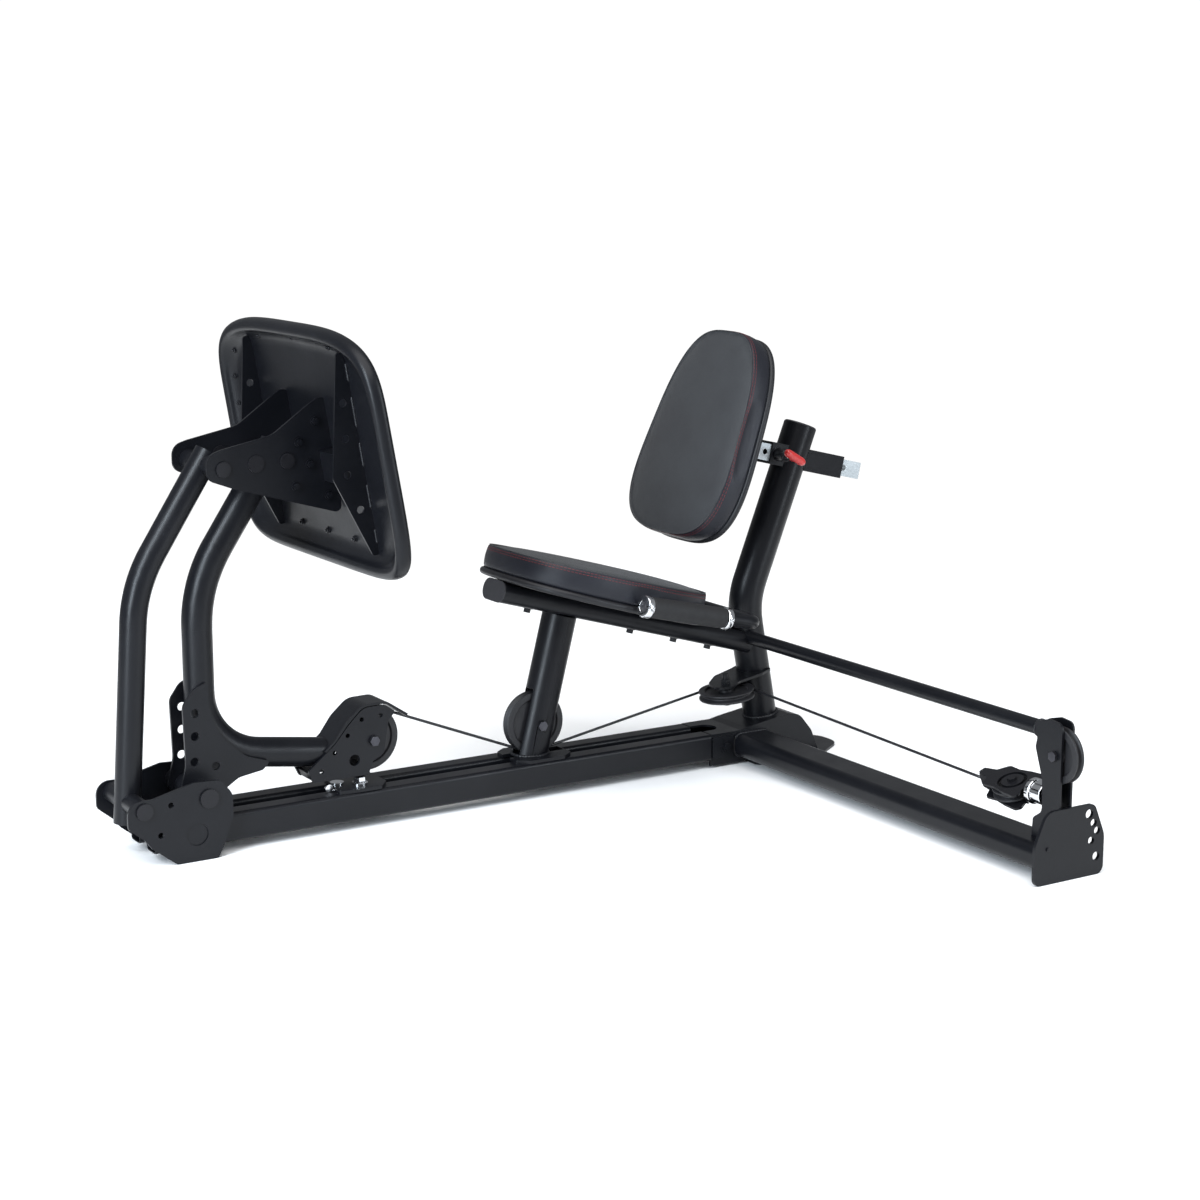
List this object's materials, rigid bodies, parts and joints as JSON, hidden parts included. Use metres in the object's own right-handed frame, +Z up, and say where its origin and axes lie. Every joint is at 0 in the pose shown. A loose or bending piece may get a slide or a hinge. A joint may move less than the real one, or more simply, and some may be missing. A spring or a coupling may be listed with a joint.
{
  "type": "leg press machine",
  "caption": "Home gym leg press station: reclined seat on a floor frame, four-bar press arm with wide foot plate, cable and pulleys leading along a side arm.",
  "frame": {"origin": "on the floor, on the centre plane of the seat and rails, under the foot of the mast", "axes": "+X from the foot plate towards the mast, +Y away from the side arm, +Z up"},
  "size_m": [1.5253, 1.2371, 0.8714],
  "materials": {
    "black_powder_coat": "satin black powder coat",
    "black_steel": "black steel",
    "chrome": "bright plating",
    "zinc_plate": "bright zinc plate",
    "zinc_steel": "dark zinc",
    "nylon_black": "matte moulded nylon",
    "cap_plastic": "matte",
    "cable_coat": "nylon coated steel cable",
    "grip_rubber": "ribbed foam rubber",
    "tread_rubber": "ribbed rubber sheet",
    "pad_board": "matte",
    "vinyl": "grained vinyl over foam, red stitching",
    "red_plastic": "red vinyl dip"
  },
  "bodies": {
    "frame": {"rail_near": "black_powder_coat", "rail_far": "black_powder_coat", "front_cross_member": "black_powder_coat", "front_cross_tube": "black_powder_coat", "front_bracket_near": "black_powder_coat", "front_bracket_far": "black_powder_coat", "arm_shaft": "black_steel", "link_shaft": "black_steel", "rear_channel": "black_powder_coat", "rear_floor_plate": "black_powder_coat", "rear_clamp": "black_powder_coat", "stop_plate": "black_powder_coat", "stop_bolt": "chrome", "cable_anchor": "chrome", "post_base_plate": "black_powder_coat", "seat_post": "black_powder_coat", "post_axle": "zinc_steel", "seat_tube": "black_powder_coat", "seat_tube_cap": "cap_plastic", "seat_bolts": "black_steel", "seat_board": "pad_board", "seat_pad": "vinyl", "handle_bar": "black_powder_coat", "grips": "grip_rubber", "grip_collars": "chrome", "mast": "black_powder_coat", "mast_cap": "cap_plastic", "mast_pulley_bracket": "black_powder_coat", "side_arm": "black_powder_coat", "end_plate": "black_powder_coat", "upright_plates": "black_powder_coat", "end_axle": "zinc_steel", "brace_tube": "black_powder_coat", "cable_block": "black_steel", "block_spool": "chrome", "cable_main": "cable_coat", "backrest_receiver": "black_powder_coat"},
    "press_arm": {"arm_tube": "black_powder_coat", "arm_gussets": "black_powder_coat", "arm_sleeves": "black_powder_coat", "tail_housing": "black_powder_coat", "tail_cover": "black_powder_coat", "tail_axle": "zinc_steel", "cable_tail": "cable_coat"},
    "tail_wheel": {"tail_pulley": "nylon_black"},
    "link": {"front_link": "black_powder_coat"},
    "carriage": {"carriage_plates": "black_powder_coat", "carriage_shafts": "black_steel", "foot_ribs": "black_powder_coat", "foot_plate": "black_powder_coat", "foot_tread": "tread_rubber"},
    "post_wheel": {"post_pulley": "nylon_black"},
    "mast_wheel": {"mast_pulley": "nylon_black"},
    "end_wheel": {"end_pulley": "nylon_black"},
    "block_wheel": {"block_pulley": "nylon_black"},
    "backrest": {"slide_tube": "zinc_plate", "back_board": "pad_board", "back_pad": "vinyl"},
    "pin": {"pull_pin": "chrome", "pull_handle": "red_plastic"}
  },
  "joints": [
    {"name": "press_arm_pivot", "type": "hinge", "parent": "frame", "child": "press_arm", "pos_m": [-1.164, 0, 0.104], "axis": [0, -1, 0], "range_deg": [0, 38], "deforming": ["cable_tail"]},
    {"name": "front_link_pivot", "type": "hinge", "parent": "frame", "child": "link", "pos_m": [-1.276, 0, 0.098], "axis": [0, -1, 0], "range_deg": [0, 38]},
    {"name": "carriage_pivot", "type": "hinge", "parent": "press_arm", "child": "carriage", "pos_m": [-1.009, 0, 0.65], "axis": [0, -1, 0], "range_deg": [-38, 0]},
    {"name": "tail_wheel_spin", "type": "hinge", "parent": "press_arm", "child": "tail_wheel", "pos_m": [-0.841, 0, 0.147], "axis": [0, 1, 0], "continuous": true},
    {"name": "post_wheel_spin", "type": "hinge", "parent": "frame", "child": "post_wheel", "pos_m": [-0.5055, 0, 0.128], "axis": [0, 1, 0], "continuous": true},
    {"name": "mast_wheel_spin", "type": "hinge", "parent": "frame", "child": "mast_wheel", "pos_m": [-0.114, -0.05, 0.142], "axis": [-0.1011, 0, 0.9949], "continuous": true},
    {"name": "end_wheel_spin", "type": "hinge", "parent": "frame", "child": "end_wheel", "pos_m": [-0.049, -0.882, 0.203], "axis": [1, 0, 0], "continuous": true},
    {"name": "block_wheel_spin", "type": "hinge", "parent": "frame", "child": "block_wheel", "pos_m": [-0.049, -0.777, 0.125], "axis": [-0.342, 0, 0.9397], "continuous": true},
    {"name": "backrest_slide", "type": "slide", "parent": "frame", "child": "backrest", "axis": [0.9724, 0, -0.2334], "range_m": [-0.05, 0.075]},
    {"name": "pin_pull", "type": "slide", "parent": "frame", "child": "pin", "axis": [0, -1, 0], "range_m": [0, 0.01], "stiffness_N_per_m": 600}
  ],
  "couplings": [
    {"joint": "front_link_pivot", "follows": "press_arm_pivot", "ratio": 1},
    {"joint": "carriage_pivot", "follows": "press_arm_pivot", "ratio": -1}
  ]
}
